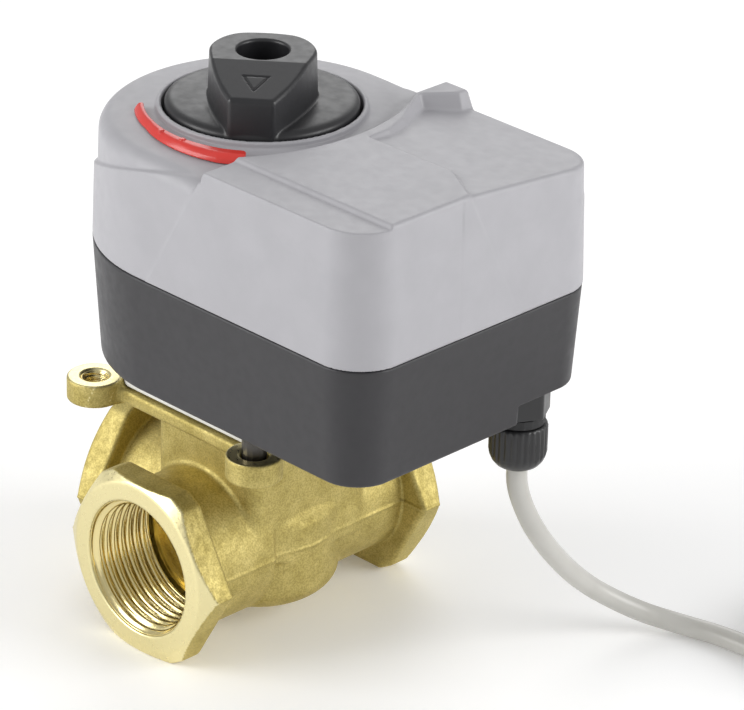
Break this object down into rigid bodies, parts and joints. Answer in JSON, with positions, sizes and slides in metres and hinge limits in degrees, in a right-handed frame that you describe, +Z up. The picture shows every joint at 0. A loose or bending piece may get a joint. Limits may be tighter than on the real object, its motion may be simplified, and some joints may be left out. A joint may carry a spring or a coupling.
{
  "type": "zone valve",
  "caption": "Electrically actuated three-way brass ball valve: hexagonal threaded ports, grey plastic actuator, manual knob over a red position scale, and a flying lead.",
  "frame": {"origin": "on the stem axis, in the plane the valve body stands on", "axes": "+Z up along the stem to the knob; +X from the stem towards the actuator's square end, away from port AB; -Y out of port A and +Y out of port B"},
  "size_m": [0.1934, 0.1624, 0.1423],
  "materials": {
    "brass": "cast and machined",
    "steel": "bright",
    "dark_steel": "blackened",
    "grey_plastic": "fine texture",
    "charcoal_plastic": "fine texture",
    "black_plastic": "semi gloss",
    "red_plastic": "gloss",
    "white_plastic": "plain",
    "rubber": "matt",
    "green_plastic": "plain",
    "blue_plastic": "plain",
    "cable_jacket": "smooth PVC"
  },
  "bodies": {
    "housing": {"valve_body": "brass", "stem_washer": "white_plastic", "seat_a": "white_plastic", "seat_b": "white_plastic", "seat_ab": "white_plastic", "seat_support": "white_plastic", "seat_retainer_a": "brass", "seat_retainer_b": "brass", "seat_retainer_ab": "brass", "insulating_plate": "white_plastic", "mounting_screw_1": "dark_steel", "mounting_screw_2": "dark_steel", "base_housing": "charcoal_plastic", "cover": "grey_plastic", "housing_seal": "rubber", "cover_screw_1": "steel", "cover_screw_2": "steel", "cover_screw_3": "steel", "cover_screw_4": "steel", "position_scale": "red_plastic", "shaft_seal": "rubber", "arbor_1": "steel", "arbor_2": "steel", "motor": "steel", "gear_plate": "steel", "circuit_board": "green_plastic", "relay": "blue_plastic", "capacitor": "dark_steel", "terminal_block": "green_plastic", "limit_switch_1": "black_plastic", "limit_switch_2": "black_plastic", "gland_body": "black_plastic", "gland_bush": "rubber", "gland_ring": "rubber", "gland_cap": "black_plastic", "inner_lead": "cable_jacket", "lead": "cable_jacket", "lead_coil": "cable_jacket"},
    "output": {"knob": "black_plastic", "knob_screw": "steel", "output_shaft": "white_plastic", "output_gear": "white_plastic", "cam_lower": "black_plastic", "cam_upper": "black_plastic", "stem": "steel", "ball": "steel", "stem_o_ring_lower": "rubber", "stem_o_ring_upper": "rubber"},
    "second_idler": {"idler_2": "white_plastic"},
    "first_idler": {"idler_1": "white_plastic"},
    "motor_rotor": {"motor_pinion": "steel"}
  },
  "joints": [
    {"name": "knob_turn", "type": "hinge", "parent": "housing", "child": "output", "pos_m": [0, 0, 0], "axis": [0, 0, -1], "range_deg": [0, 90]},
    {"name": "second_idler_spin", "type": "hinge", "parent": "housing", "child": "second_idler", "pos_m": [0.02831, 0.01381, 0], "axis": [0, 0, -1], "range_deg": [-360.1, 0.1]},
    {"name": "first_idler_spin", "type": "hinge", "parent": "housing", "child": "first_idler", "pos_m": [0.03953, -0.00394, 0], "axis": [0, 0, -1], "range_deg": [-0.1, 1152.1]},
    {"name": "motor_spin", "type": "hinge", "parent": "housing", "child": "motor_rotor", "pos_m": [0.05551, -0.01513, 0], "axis": [0, 0, -1], "range_deg": [-3840.1, 0.1]}
  ],
  "couplings": [
    {"joint": "second_idler_spin", "follows": "knob_turn", "ratio": -4},
    {"joint": "first_idler_spin", "follows": "knob_turn", "ratio": 12.8},
    {"joint": "motor_spin", "follows": "knob_turn", "ratio": -42.667}
  ]
}
